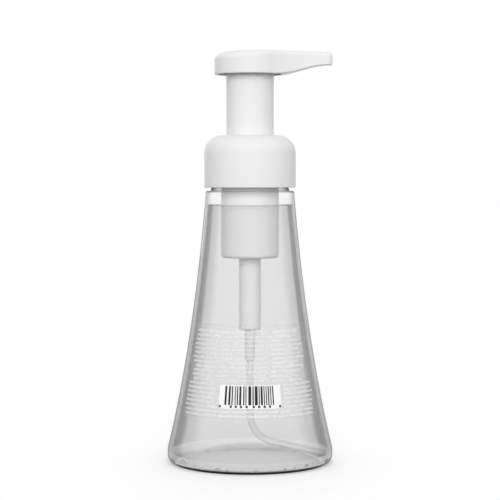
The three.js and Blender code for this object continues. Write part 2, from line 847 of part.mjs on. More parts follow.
place('bottle', makeBottle(), clearPet);
place('rear_label', makeLabel(), labelFilm);
place('soap_fill', makeSoap(), soap);
place('closure', makeClosure(), whitePolypropylene);
place('neck_gasket', makeGasket(), gasketFoam);
place('pump_housing', makeHousing(), naturalPolypropylene);
place('guide_collar', makeGuideCollar(), whitePolypropylene);
place('dip_tube', makeDipTube(), tubePlastic);
place('inlet_ball', ballOnSeat(inletBallRadius, inletSeatBottom), steel);
place('ball_cage', makeCage(), naturalPolypropylene);
place('return_spring', makeSpring(), steel);
place('liquid_piston', makeLiquidPiston(), naturalPolyethylene);
place('piston_stem', makeStem(), naturalPolypropylene);
place('outlet_ball', ballOnSeat(outletBallRadius, outletSeatBottom), steel);
place('air_piston', makeAirPiston(), naturalPolyethylene);
place('air_inlet_flap', makeFlap(), silicone);
place('stem_sleeve', makeSleeve(), whitePolypropylene);
place('mesh_cartridge', makeCartridge(), naturalPolypropylene);
place('mesh_screen_lower', makeScreen(lowerScreenBottom), nylonMesh);
place('mesh_screen_upper', makeScreen(upperScreenBottom), nylonMesh);
place('actuator_head', makeHead(), whitePolypropylene);

export default soapBottle;
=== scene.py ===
"""Clear flared bottle of liquid hand soap with a white screw closure and a press-down foam pump.

Sizes are in millimetres where nothing else is said, and outlines are lists of (radius, height), turned
around the Z axis. The spout points along +X and the rear label faces -Y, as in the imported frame.
"""

import math
import random

import bmesh
import bpy
from bpy.props import FloatProperty, FloatVectorProperty, IntProperty, PointerProperty
from bpy.types import Operator, Panel, PropertyGroup
from mathutils import Matrix, Vector
from mathutils.geometry import interpolate_bezier


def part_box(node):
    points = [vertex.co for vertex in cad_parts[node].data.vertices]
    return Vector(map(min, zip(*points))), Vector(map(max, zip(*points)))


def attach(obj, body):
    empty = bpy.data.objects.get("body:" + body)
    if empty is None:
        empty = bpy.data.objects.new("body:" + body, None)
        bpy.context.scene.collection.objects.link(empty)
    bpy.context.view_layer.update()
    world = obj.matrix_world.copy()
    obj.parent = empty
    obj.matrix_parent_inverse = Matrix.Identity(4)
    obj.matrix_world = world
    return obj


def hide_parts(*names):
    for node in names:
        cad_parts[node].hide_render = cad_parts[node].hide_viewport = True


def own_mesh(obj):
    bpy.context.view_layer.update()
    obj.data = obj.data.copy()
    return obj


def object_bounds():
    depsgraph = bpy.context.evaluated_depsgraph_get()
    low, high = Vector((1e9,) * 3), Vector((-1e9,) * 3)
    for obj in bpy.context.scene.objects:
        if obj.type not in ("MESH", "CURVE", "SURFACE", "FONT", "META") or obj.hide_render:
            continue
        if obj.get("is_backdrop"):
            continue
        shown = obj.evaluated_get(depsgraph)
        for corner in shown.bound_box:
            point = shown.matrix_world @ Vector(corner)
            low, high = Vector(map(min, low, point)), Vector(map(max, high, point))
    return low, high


bl_info = {
    "name": "Foaming Soap Bottle",
    "version": (1, 0, 0),
    "blender": (4, 5, 0),
    "location": "View3D > Sidebar > Soap Bottle",
    "description": "Builds a clear foaming hand soap bottle on its packed frame",
    "category": "Add Mesh",
}

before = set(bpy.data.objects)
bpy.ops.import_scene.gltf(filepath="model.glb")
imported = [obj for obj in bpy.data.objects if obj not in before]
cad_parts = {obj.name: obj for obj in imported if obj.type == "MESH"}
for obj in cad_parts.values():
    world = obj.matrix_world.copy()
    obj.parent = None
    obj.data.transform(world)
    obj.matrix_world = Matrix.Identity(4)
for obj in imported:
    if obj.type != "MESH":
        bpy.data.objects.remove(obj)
CAD_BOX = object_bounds()

MM = 0.001
MERGE = 1e-7
SMOOTH_ANGLE = math.radians(38)

# Bottle outline: foot ring, heel, the flare's curve and the neck
RING_INNER = 33.6
RING_OUTER = 36.2
PUSH_UP = 7.0
PUSH_UP_SHAPE = 0.9
HEEL_RADIUS = 39.75
HEEL_HEIGHT = 4.0
FLARE = ((39.55, 8.0), (32.14, 38.5), (25.6, 78.3), (21.3, 128.5))
SHOULDER = 130.6
BEAD_RADIUS = 18.9
BEAD_TOP = 131.6
NECK_RADIUS = 17.9
NECK_BORE = 16.4
NECK_TOP = 150.0
THREAD_PITCH = 3.4
THREAD_TURNS = 1.3
THREAD_BOTTOM = 136.6
THREAD_FACETS = 72

# Small notches around the foot, inside its ring; their sizes are radii before they are stretched
MARK_COUNT = 30
MARK_SIZES = (0.25, 0.4, 0.6, 1.0)
MARK_RADIUS = 32.4
MARK_HEIGHT = 1.2

# Pump housing and dip tube
AIR_RADIUS = 13.85
AIR_BORE = 12.75
AIR_BOTTOM = 98.6
LIQUID_RADIUS = 5.2
LIQUID_BORE = 4.0
LIQUID_BOTTOM = 64.0
NIPPLE_RADIUS = 2.45
NIPPLE_BOTTOM = 49.5
TUBE_RADIUS = 1.6
TUBE_BORE = 0.9
TUBE_TOP = 62.3
TUBE_BEND_TOP = 24.1
TUBE_CORNER = 12.1
TUBE_END = (36.2, 4.0)

# Return spring
SPRING_TURNS = 6
SPRING_RADIUS = 3.1
SPRING_WIRE = 0.35
SPRING_BOTTOM = 70.9
SPRING_TOP = 91.4

# Head: its outline from above, the rounds of its rims and its spout
HEAD_BOTTOM = 186.05
HEAD_TOP = 197.0
HEAD_RADIUS = 17.0
SPOUT_REACH = 39.3
SPOUT_HALF = 4.2
SPOUT_CORNER = 2.4
SPOUT_FALL = 0.2
SPOUT_START = 11.2
LEAVE_ANGLE = math.radians(55)
PLAN_PULL = 14.5
TOP_ROUND = 2.2
LOWER_ROUND = 0.45
BACK_ROUND = (7.6, 3.9)
ROUND_SPARE = 0.05
UNDERSIDE = ((11.2, 186.05), (22.0, 186.05), (28.0, 190.6), (38.0, 190.6))

# Label film and the thickness of its ink
LABEL_BOTTOM = 25.2
LABEL_TOP = 68.8
LABEL_MIDDLE = (LABEL_BOTTOM + LABEL_TOP) / 2
LABEL_HALF_ANGLE = math.radians(61.8)
LABEL_GAP = 0.05
LABEL_FILM = 0.1
LABEL_FACETS = 64
INK_LIFT = 0.01
INK_THICKNESS = 0.04
WHITE_INK, DARK_INK, PANEL_INK, FAINT_INK = 0, 1, 2, 3

# Print: left and right along the label from its middle, bottom and top above the floor
ROW_COUNT = 20
ROW_PITCH = 2.02
ROW_TOP = LABEL_TOP - 4.1
WIDE_ROWS = 14
PANEL = (-13.7, 13.7, 30.3, 41.0)
RING_MARK = (-21.9, 45.7)
BARS = (-11.1, 10.6, 32.0, 40.6)
BAR_WIDTHS = (0.45, 0.55, 0.9, 1.3)
BAR_GAPS = (0.42, 0.5, 0.8)
DOTS = (-13.1, -8.2, -6.0, -3.8, -1.4, 1.6, 3.9, 6.2, 8.5, 13.1)
DOT_HALF = 0.45
DOT_HEIGHTS = (30.7, 31.8)

# Studio: bearings round from the front and heights above the floor in degrees; strips and floor in metres
KEY_HEIGHT = 15.7
KEY_SPREAD = 35
RIM_BEARING = 160
RIM_HEIGHT = 20
RIM_SPREAD = 60
STRIP_BEARINGS = (("right_strip", 107), ("left_strip", -151))
STRIP_WIDTH = 0.03
STRIP_HEIGHT = 0.5
STRIP_CENTRE = 0.35
STRIP_DISTANCE = 0.6
STRIP_RADIANCE = 4.0
FLOOR_HALF = 6.0
FLOOR_SHADE = 0.32
FLOOR_SEEN = 0.96
FLOOR_LIFT = 0.2


def length(name, description, default, low, high):
    """A size that a user would change."""
    return FloatProperty(
        name=name,
        description=description,
        default=default,
        min=low,
        max=high,
        precision=5,
        unit="LENGTH",
    )


def number(name, description, default, low, high):
    """A strength or other plain number that a user would change."""
    return FloatProperty(name=name, description=description, default=default, min=low, max=high)


def colour_of(name, description, default):
    """A colour that a user would change."""
    return FloatVectorProperty(
        name=name,
        description=description,
        default=default,
        subtype="COLOR",
        min=0,
        max=1,
    )


class BottleSizes(PropertyGroup):
    wall: length("Wall", "Thickness of the clear wall", 0.8 * MM, 0.4 * MM, 2 * MM)
    base_wall: length(
        "Base wall", "Thickness of the clear floor over the push-up", 1.2 * MM, 0.5 * MM, 3 * MM
    )
    liquid_level: length(
        "Liquid level", "Height of the soap's surface above the floor", 124.1 * MM, 100 * MM, 127 * MM
    )
    liquid_gap: length(
        "Liquid gap",
        "Room between the soap's solid and whatever holds it or hangs in it",
        0.25 * MM,
        0.05 * MM,
        0.6 * MM,
    )
    steps: IntProperty(
        name="Steps",
        description="Facets around the bottle and the soap",
        default=160,
        min=32,
        max=256,
    )


class Finishes(PropertyGroup):
    white: colour_of("White plastic", "Colour of the closure, head and sleeve", (0.85, 0.85, 0.85))
    natural: colour_of(
        "Natural plastic", "Colour of the pump's unpigmented housing", (0.96, 0.96, 0.96)
    )
    soap_shade: colour_of(
        "Soap shade", "Colour that the clear soap takes where it shades", (0.1, 0.1, 0.1)
    )
    dark_ink: colour_of("Dark ink", "Colour of the bars on the label", (0.012, 0.012, 0.012))


class StageSettings(PropertyGroup):
    camera_distance: length(
        "Camera distance", "From the bottle's axis to the camera", 0.811, 0.3, 3
    )
    camera_height: length("Camera height", "Height of the camera over the floor", 0.1385, 0, 1)
    aim_height: length(
        "Aim height", "Height on the bottle's axis that the camera looks at", 0.1022, 0, 0.3
    )
    lens: number("Lens", "Focal length on a 36 mm sensor", 121.8, 20, 300)
    fill: number("Fill", "Strength of the even light from all round", 0.58, 0, 2)
    key: number("Key", "Strength of the soft lamp in front", 1.9, 0, 10)
    rim: number("Rim", "Strength of the two very soft lamps behind", 0.5, 0, 10)


# Shader graphs


class Wire:
    """A node's output that arithmetic can be done on."""

    def __init__(self, finish, socket):
        self.finish = finish
        self.socket = socket

    def maths(self, operation, *values, clamp=False):
        settings = {"operation": operation, "use_clamp": clamp}
        return self.finish.node("ShaderNodeMath", settings, dict(enumerate(values)))

    def __add__(self, other):
        return self.maths("ADD", self, other)

    def __sub__(self, other):
        return self.maths("SUBTRACT", self, other)

    def __rsub__(self, other):
        return self.maths("SUBTRACT", other, self)

    def __mul__(self, other):
        return self.maths("MULTIPLY", self, other)

    def __truediv__(self, other):
        return self.maths("DIVIDE", self, other)

    def __rtruediv__(self, other):
        return self.maths("DIVIDE", other, self)

    def __pow__(self, other):
        return self.maths("POWER", self, other)

    __radd__ = __add__
    __rmul__ = __mul__

    def held(self):
        return self.maths("ADD", self, 0.0, clamp=True)


class Finish:
    """A material or world made of nodes."""

    def __init__(self, owner):
        owner.use_nodes = True
        self.owner = owner
        self.tree = owner.node_tree
        self.tree.nodes.clear()

    def node(self, kind, settings=None, sockets=None, output=0):
        """Adds a node: its settings first, then the values or wires of its sockets."""
        added = self.tree.nodes.new(kind)
        for name, value in (settings or {}).items():
            if name == "stops":
                self.set_stops(added.color_ramp, value)
            else:
                setattr(added, name, value)
        for name, value in (sockets or {}).items():
            if isinstance(value, Wire):
                self.tree.links.new(value.socket, added.inputs[name])
            else:
                added.inputs[name].default_value = value
        return Wire(self, added.outputs[output]) if added.outputs else added

    @staticmethod
    def set_stops(ramp, stops):
        ramp.interpolation = "EASE"
        while len(ramp.elements) < len(stops):
            ramp.elements.new(1.0)
        for element, (place, value) in zip(ramp.elements, stops):
            element.position = place
            element.color = (value, value, value, 1.0)

    def ramp(self, factor, stops):
        return self.node("ShaderNodeValToRGB", {"stops": stops}, {"Fac": factor})

    def facing(self):
        """0 where a surface faces the eye and 1 where it is seen edge on."""
        return self.node("ShaderNodeLayerWeight", sockets={"Blend": 0.5}, output="Facing")

    def from_outside(self):
        """1 on the outer side of a surface and 0 where it is seen from within."""
        return 1.0 - self.node("ShaderNodeNewGeometry", output="Backfacing")

    def place(self):
        """Place on the piece, in metres."""
        return self.node("ShaderNodeTexCoord", output="Object")

    def along(self, axis):
        return self.node("ShaderNodeSeparateXYZ", sockets={"Vector": self.place()}, output=axis)

    def noise(self, scale, detail=2.0, stretch=(1.0, 1.0, 1.0)):
        """Noise of a scale in cells per metre, drawn out along the axes."""
        spot = self.node("ShaderNodeMapping", sockets={"Vector": self.place(), "Scale": stretch})
        cells = {"Vector": spot, "Scale": scale, "Detail": detail}
        return self.node("ShaderNodeTexNoise", sockets=cells)

    def bump(self, height, distance):
        return self.node("ShaderNodeBump", sockets={"Height": height, "Distance": distance})

    def mixed(self, factor, first, second):
        """A blend of two colours."""
        sockets = {0: factor, 6: first, 7: second}
        return self.node("ShaderNodeMix", {"data_type": "RGBA"}, sockets, output=2)

    def on_rays(self, *kinds):
        """1 on the kinds of ray that are named and 0 on the rest."""
        first, *others = (self.node("ShaderNodeLightPath", output=f"Is {kind} Ray") for kind in kinds)
        return sum(others, first).held()

    def shown(self, **sockets):
        """Ends the graph in one plastic, metal or film surface."""
        named = {name.replace("_", " "): value for name, value in sockets.items()}
        surface = self.node("ShaderNodeBsdfPrincipled", sockets=named)
        self.node("ShaderNodeOutputMaterial", sockets={"Surface": surface})
        return self.owner


def new_finish(name):
    return Finish(bpy.data.materials.new(name))


def rgba(value):
    """A colour or one brightness, as a colour socket takes it."""
    return (value, value, value, 1.0) if isinstance(value, float) else (*value, 1.0)


def moulded_plastic(name, colour, roughness, glow=0.0):
    """Moulded plastic: a faint change of shade and gloss, a surface that isn't quite flat, and painted
    glow.
    """
    finish = new_finish(name)
    cloud = finish.noise(45.0)
    grain = finish.noise(1400.0, 3.0)
    shade = finish.mixed(cloud, rgba(c * 0.985 for c in colour), rgba(colour))
    gloss = roughness + (cloud - 0.5) * 0.06
    return finish.shown(
        Base_Color=shade,
        Roughness=gloss,
        Normal=finish.bump(grain, 0.02 * MM),
        Specular_IOR_Level=0.2,
        Emission_Strength=glow,
    )


def see_through(name, cover, shade, roughness, gloss=0.0, glint=0.04, waves=0.0, foot=None):
    """A clear surface: a tint with a mirror gloss over it.

    The tint's cover is a ramp from facing the eye to edge on, and so is a shade that is a list of stops.
    Where they darken a surface towards its edges, that is partly the longer path through the tint and
    partly painted shade, for the dim surroundings seen bent through the clear body. The glint is the
    gloss's share where the surface faces the eye, and the waves are its unevenness. A foot is a second ramp
    of cover, for the lowest
    few millimetres seen from outside: a painted shadow, a dark line for the shaded floor under the foot's
    ring.
    """
    finish = new_finish(name)
    facing = finish.facing()
    grain = finish.noise(60.0, 1.0, (1.0, 1.0, 0.35))
    covered = finish.ramp(facing, cover)
    if foot:
        # Painted shadow: extra cover on the lowest few millimetres of the outside, for the shaded floor
        # under the ring.
        low = finish.ramp(finish.along("Z") / (5 * MM), [(0.0, 1.0), (0.27, 0.85), (0.5, 0.0)])
        low = low * finish.from_outside()
        covered = (covered + low * finish.ramp(facing, foot)).held()
    tint = finish.node(
        "ShaderNodeBsdfPrincipled",
        sockets={
            "Base Color": finish.ramp(facing, shade) if isinstance(shade, list) else rgba(shade),
            "Roughness": roughness + grain * 0.05,
            "Specular IOR Level": 0.0,
            "Alpha": covered,
        },
    )
    surface = tint
    if gloss:
        shine = finish.node(
            "ShaderNodeBsdfPrincipled",
            sockets={
                "Base Color": rgba(gloss),
                "Metallic": 1.0,
                "Roughness": 0.03,
                "Normal": finish.bump(grain, waves),
            },
        )
        share = glint + facing**5 * (1.0 - glint)
        # The gloss is held off where the shadow is painted.
        if foot:
            share = share * (1.0 - low)
        surface = finish.node("ShaderNodeMixShader", sockets={0: share, 1: tint, 2: shine})
    finish.node("ShaderNodeOutputMaterial", sockets={"Surface": surface})
    return finish.owner


def clear_wall():
    """The bottle's outside, with painted shade in a dark line along its edges and a painted shadow around
    its foot.
    """
    # Cover by facing: the middle stops are a faint tint, the edge stops paint a dark line of shade along
    # the outline, and the foot stops paint the shadow under the foot.
    middle = [(0.0, 0.008), (0.46, 0.012), (0.6, 0.08), (0.68, 0.16)]
    edge = [(0.77, 0.16), (0.85, 0.82), (1.0, 0.96)]
    foot = [(0.0, 0.0), (0.08, 0.12), (0.15, 0.75), (0.35, 0.9), (0.62, 0.97)]
    return see_through("clear_wall", [*middle, *edge], 0.05, 0.3, 0.34, 0.045, 0.06 * MM, foot)


def clear_inside():
    """The inner side of the bottle's wall, which hardly shows."""
    cover = [(0.0, 0.004), (0.8, 0.01), (0.94, 0.08), (1.0, 0.15)]
    return see_through("clear_wall_inside", cover, 0.08, 0.3)


def clear_bead():
    """The shoulder, the bead under the thread and the foot's notches: partly thick plastic and partly
    painted shade.
    """
    cover = [(0.0, 0.06), (0.46, 0.2), (0.7, 0.55), (0.85, 0.92), (1.0, 0.97)]
    return see_through("clear_bead", cover, 0.05, 0.3, gloss=0.3, glint=0.045, waves=0.06 * MM)


def clear_base():
    """The floor of the bottle, over and under the push-up."""
    cover = [(0.0, 0.01), (0.3, 0.02), (0.5, 0.04), (0.65, 0.03), (0.8, 0.01), (1.0, 0.01)]
    return see_through("clear_base", cover, 0.1, 0.3, gloss=0.65, glint=0.01, waves=0.03 * MM)


def liquid(finishes):
    """The soap's sides: a light grey body, with a band of painted shade just inside its edge."""
    body = [(0.0, 0.1), (0.2, 0.11), (0.42, 0.22)]
    painted_shade_band = [(0.56, 0.43), (0.67, 0.42), (0.8, 0.13), (1.0, 0.05)]
    return see_through("liquid_soap", [*body, *painted_shade_band], finishes.soap_shade, 0.3)


def liquid_base(finishes):
    """The soap's underside over the push-up, which hardly shows."""
    cover = [(0.0, 0.01), (0.3, 0.02), (0.5, 0.04), (0.63, 0.02), (0.76, 0.01), (1.0, 0.01)]
    return see_through("liquid_soap_base", cover, finishes.soap_shade, 0.3)


def liquid_hole(finishes):
    """Where the soap meets the pump: nothing shows there but the pump."""
    cover = [(0.0, 0.0), (0.7, 0.01), (1.0, 0.06)]
    return see_through("liquid_soap_at_pump", cover, finishes.soap_shade, 0.3)


def liquid_top():
    """The soap's surface, seen almost edge on."""
    cover = [(0.0, 0.06), (0.8, 0.1), (1.0, 0.18)]
    return see_through("liquid_soap_surface", cover, 0.3, 0.2, gloss=0.5, glint=0.02, waves=0.02 * MM)


def tube_plastic():
    """The dip tube's plastic: pale in the middle, with painted shade that darkens it towards its edges."""
    cover = [(0.0, 0.05), (0.35, 0.06), (0.6, 0.28), (1.0, 0.45)]
    # Painted shade: the colour darkens as the surface is seen more edge on.
    shade = [(0.0, 0.9), (0.4, 0.7), (0.65, 0.2), (1.0, 0.15)]
    return see_through("tube_plastic", cover, shade, 0.3, gloss=0.3, glint=0.01, waves=0.02 * MM)


def label_film():
    """The clear film that the label is printed on."""
    cover = [(0.0, 0.05), (0.6, 0.06), (1.0, 0.12)]
    return see_through("label_film", cover, 0.9, 0.4, gloss=0.25, glint=0.02, waves=0.02 * MM)


def ink(name, colour, cover):
    """Printed ink with faint flecks."""
    finish = new_finish(name)
    fleck = finish.noise(2600.0, 1.0)
    return finish.shown(
        Base_Color=rgba(colour),
        Roughness=0.45 + fleck * 0.1,
        Alpha=(cover + (fleck - 0.5) * 0.04).held(),
    )


def steel():
    """Drawn steel wire and polished steel balls."""
    finish = new_finish("bright_steel")
    drawn = finish.noise(900.0, 2.0, (1.0, 1.0, 0.2))
    return finish.shown(
        Base_Color=(0.62, 0.63, 0.64, 1.0),
        Metallic=1.0,
        Roughness=0.18 + drawn * 0.14,
    )


# Mesh helpers: outlines are (radius, height) in millimetres


def rounded(corners, steps=6):
    """Points of an outline whose corners may give, as a third number, how far back their round starts."""
    outline = []
    for place, corner in enumerate(corners):
        here = Vector(corner[:2])
        if len(corner) < 3:
            outline.append(here)
            continue
        before = (Vector(corners[place - 1][:2]) - here).normalized()
        after = (Vector(corners[(place + 1) % len(corners)][:2]) - here).normalized()
        start = here + before * corner[2]
        end = here + after * corner[2]
        pull = math.sqrt(max(0.0, (1 - before.dot(after)) / 2))
        for step in range(steps + 1):
            t = step / steps
            weights = ((1 - t) ** 2, 2 * t * (1 - t) * pull, t * t)
            total = sum(weights)
            outline.append((start * weights[0] + here * weights[1] + end * weights[2]) / total)
    return outline


def curve(*handles, steps=12):
    return interpolate_bezier(*(Vector(h) for h in handles), steps)


FLARE_POINTS = curve(*FLARE, steps=56)


def flare_radius(height):
    """The bottle's outside radius at a height on the flare."""
    for low, high in zip(FLARE_POINTS, FLARE_POINTS[1:]):
        if low.y <= height <= high.y:
            share = (height - low.y) / (high.y - low.y)
            return low.x + (high.x - low.x) * share
    return FLARE_POINTS[0].x


def flare_between(low, high, out=0.0):
    """Points up the flare between two heights, moved outwards."""
    heights = [low, *(p.y for p in FLARE_POINTS if low < p.y < high), high]
    return [Vector((flare_radius(z) + out, z)) for z in heights]


def push_up(lift=0.0, reach=1.0):
    """The foot's push-up, from the axis out to the ring."""
    points = []
    for step in range(21):
        radius = (RING_INNER - 0.5) * math.sin(step / 20 * math.pi / 2)
        height = PUSH_UP * (1 - (radius / RING_INNER) ** 2) ** PUSH_UP_SHAPE
        points.append(Vector((radius * reach, height + lift)))
    return points


def join(bm, other):
    """Moves a finished bmesh into another."""
    mesh = bpy.data.meshes.new("joined")
    other.to_mesh(mesh)
    other.free()
    bm.from_mesh(mesh)
    bpy.data.meshes.remove(mesh)


def turn(bm, outline, finish, steps, closed=False, angle=math.tau):
    """Spins an outline around the Z axis; a closed one that turns part of the way gets end faces."""
    turned = bmesh.new()
    verts = [turned.verts.new((r * MM, 0.0, z * MM)) for r, z in outline]
    ends = verts[1:] + verts[:1] if closed else verts[1:]
    edges = [turned.edges.new(pair) for pair in zip(verts, ends)]
    geometry = verts + edges
    if closed and angle < math.tau:
        geometry.append(turned.faces.new(verts))
    full = angle == math.tau
    axis = {"cent": (0, 0, 0), "axis": (0, 0, 1)}
    bmesh.ops.spin(turned, geom=geometry, angle=angle, steps=steps, use_merge=full, **axis)
    for face in turned.faces:
        face.material_index = finish
    join(bm, turned)


def thread(bm, radius, rib, bottom, sink):
    """A helical rib that climbs the neck; its ends fade into the wall."""
    made = bmesh.ops.create_circle(bm, cap_ends=True, radius=rib * MM, segments=12)["verts"]
    turned = Matrix.Rotation(math.pi / 2, 4, "X")
    placed = Matrix.Translation((radius * MM, 0, bottom * MM))
    bmesh.ops.transform(bm, matrix=placed @ turned, verts=made)
    faces = {face for vert in made for face in vert.link_faces}
    edges = {edge for vert in made for edge in vert.link_edges}
    before = set(bm.verts) - set(made)
    bmesh.ops.spin(
        bm,
        geom=[*made, *edges, *faces],
        cent=(0, 0, 0),
        axis=(0, 0, 1),
        dvec=(0, 0, THREAD_PITCH * MM / THREAD_FACETS),
        angle=math.tau * THREAD_TURNS,
        steps=round(THREAD_FACETS * THREAD_TURNS),
    )
    rise = THREAD_PITCH * THREAD_TURNS * MM
    for vert in set(bm.verts) - before:
        share = (vert.co.z - bottom * MM) / rise
        fade = max(0.0, 1 - 8 * min(max(share, 0), max(1 - share, 0)))
        flat = Vector((vert.co.x, vert.co.y, 0))
        vert.co += flat.normalized() * (sink * MM * fade * fade)


def sweep(bm, path, radius, sides=16, bore=0.0):
    """A round rod, or a tube with a bore, along a path of points in millimetres.

    Each wall starts as a circle at the path's start. Its open edge is extruded from point to point, and
    turned each time to the path's direction there. Then the ends are filled, or joined to the bore's.
    """
    rims = []
    for size in filter(None, (radius, bore)):
        ring = None
        for place, spot in enumerate(path):
            ahead = path[min(place + 1, len(path) - 1)] - path[max(place - 1, 0)]
            if ring is None:
                made = bmesh.ops.create_circle(bm, radius=size * MM, segments=sides)["verts"]
                edges = list({edge for vert in made for edge in vert.link_edges})
                ring = (made, edges)
                facing = Vector((0, 0, 1))
                centre = Vector()
                rims.append(edges)
            else:
                out = bmesh.ops.extrude_edge_only(bm, edges=ring[1])["geom"]
                ring = (
                    [g for g in out if isinstance(g, bmesh.types.BMVert)],
                    [g for g in out if isinstance(g, bmesh.types.BMEdge)],
                )
            spin = facing.rotation_difference(ahead).to_matrix().to_4x4()
            move = Matrix.Translation(spot * MM) @ spin @ Matrix.Translation(-centre)
            bmesh.ops.transform(bm, matrix=move, verts=ring[0])
            facing = ahead
            centre = spot * MM
        rims.append(ring[1])
    if bore:
        bmesh.ops.bridge_loops(bm, edges=rims[0] + rims[2])
        bmesh.ops.bridge_loops(bm, edges=rims[1] + rims[3])
    else:
        for rim in rims:
            bmesh.ops.contextual_create(bm, geom=rim)


def link_mesh(bm, name):
    bmesh.ops.remove_doubles(bm, verts=bm.verts, dist=MERGE)
    bmesh.ops.recalc_face_normals(bm, faces=bm.faces)
    mesh = bpy.data.meshes.new(name)
    bm.to_mesh(mesh)
    bm.free()
    piece = bpy.data.objects.new(name, mesh)
    bpy.context.scene.collection.objects.link(piece)
    return piece


def finish_piece(piece, body, slot, materials, *nodes):
    """Gives a piece its smooth shading and materials, and hands it to the frame."""
    piece.data.shade_smooth()
    piece.data.set_sharp_from_angle(angle=SMOOTH_ANGLE)
    for material in materials:
        piece.data.materials.append(material)
    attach(piece, body)
    if nodes:
        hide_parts(*nodes)
    return piece


# Pieces


def inside_of_bottle(sizes, gap, top):
    """Outlines drawn in by a gap: the wall from a height down to the floor, and the floor to its middle."""
    wall = sizes.wall / MM + gap
    floor = sizes.base_wall / MM + gap
    flare = flare_between(FLARE[0][1], top, -wall)[::-1]
    low = flare[-1].y
    heel = curve(
        (flare[-1].x, low),
        (flare[-1].x + 0.35, low * 0.5),
        (RING_OUTER + 1.6, floor),
        (RING_OUTER - 1.2, floor),
        steps=10,
    )
    return [*flare, *heel[1:3]], [*heel[2:], *push_up(floor, 0.985)[::-1]]


class SOAP_OT_bottle(Operator):
    """Blow-moulded clear bottle with its push-up foot, flare, shoulder and threaded neck"""

    bl_idname = "soap_bottle.bottle"
    bl_label = "Bottle"

    def execute(self, context):
        sizes = context.scene.soap_bottle
        bm = bmesh.new()
        heel = [
            Vector((RING_OUTER, 0)),
            *curve((38.65, 1.4), (39.3, 1.78), (HEEL_RADIUS, 2.8), (HEEL_RADIUS, HEEL_HEIGHT), steps=8),
        ]
        above_heel = curve(heel[-1], (HEEL_RADIUS, 5.4), (HEEL_RADIUS, 7.18), FLARE[0], steps=6)
        inner_side, inner_floor = inside_of_bottle(sizes, 0.0, 127.4)
        foot = [*push_up(), *rounded([push_up()[-1], (RING_INNER, 0, 0.2), (RING_OUTER, 0)])[1:-1], heel[0]]
        outside = [
            *heel,
            *above_heel[1:-1],
            *FLARE_POINTS,
            Vector((FLARE_POINTS[-1].x, SHOULDER - 0.9)),
        ]
        bead = rounded(
            [
                outside[-1],
                (FLARE_POINTS[-1].x, SHOULDER, 0.8),
                (BEAD_RADIUS + 0.1, SHOULDER, 0.1),
                (BEAD_RADIUS, BEAD_TOP - 0.3, 0.35),
                (NECK_RADIUS, BEAD_TOP + 1.0),
            ]
        )
        neck = rounded(
            [
                (NECK_RADIUS, BEAD_TOP + 1.0),
                (NECK_RADIUS, NECK_TOP, 0.3),
                (NECK_BORE, NECK_TOP, 0.2),
                (NECK_BORE, NECK_TOP - 1),
            ]
        )
        inside = [
            *rounded(
                [
                    (NECK_BORE, NECK_TOP - 1),
                    (NECK_BORE, SHOULDER - 0.7, 0.3),
                    (FLARE_POINTS[-1].x - 1.1, SHOULDER - 1.0, 0.7),
                    (flare_radius(127.4) - 0.9, 127.4),
                ]
            )[:-1],
            *inner_side,
        ]
        thread(bm, NECK_RADIUS, 1.05, THREAD_BOTTOM, -1.1)
        for slot, outline in enumerate((outside, inside, foot, bead)):
            turn(bm, outline, slot, sizes.steps)
        turn(bm, neck, 0, sizes.steps)
        self.add_foot_marks(bm)
        turn(bm, inner_floor, 2, sizes.steps)
        bottle = link_mesh(bm, "clear_bottle")
        materials = [clear_wall(), clear_inside(), clear_base(), clear_bead()]
        finish_piece(bottle, "bottle_body", "clear_pet", materials, "bottle")
        return {"FINISHED"}

    @staticmethod
    def add_foot_marks(bm):
        """Uneven small notches around the foot, just inside its ring."""
        draw = random.Random(5)
        marks = bmesh.new()
        for step in range(MARK_COUNT):
            angle = math.tau * (step + draw.uniform(-0.2, 0.2)) / MARK_COUNT
            size = draw.choice(MARK_SIZES) * MM
            made = bmesh.ops.create_uvsphere(marks, u_segments=12, v_segments=8, radius=size)["verts"]
            spot = Matrix.Translation((MARK_RADIUS * MM, 0, MARK_HEIGHT * MM))
            place = Matrix.Rotation(angle, 4, "Z") @ spot @ Matrix.Diagonal((0.6, 1.6, 0.6, 1))
            bmesh.ops.transform(marks, matrix=place, verts=made)
        for face in marks.faces:
            face.material_index = 3
        join(bm, marks)


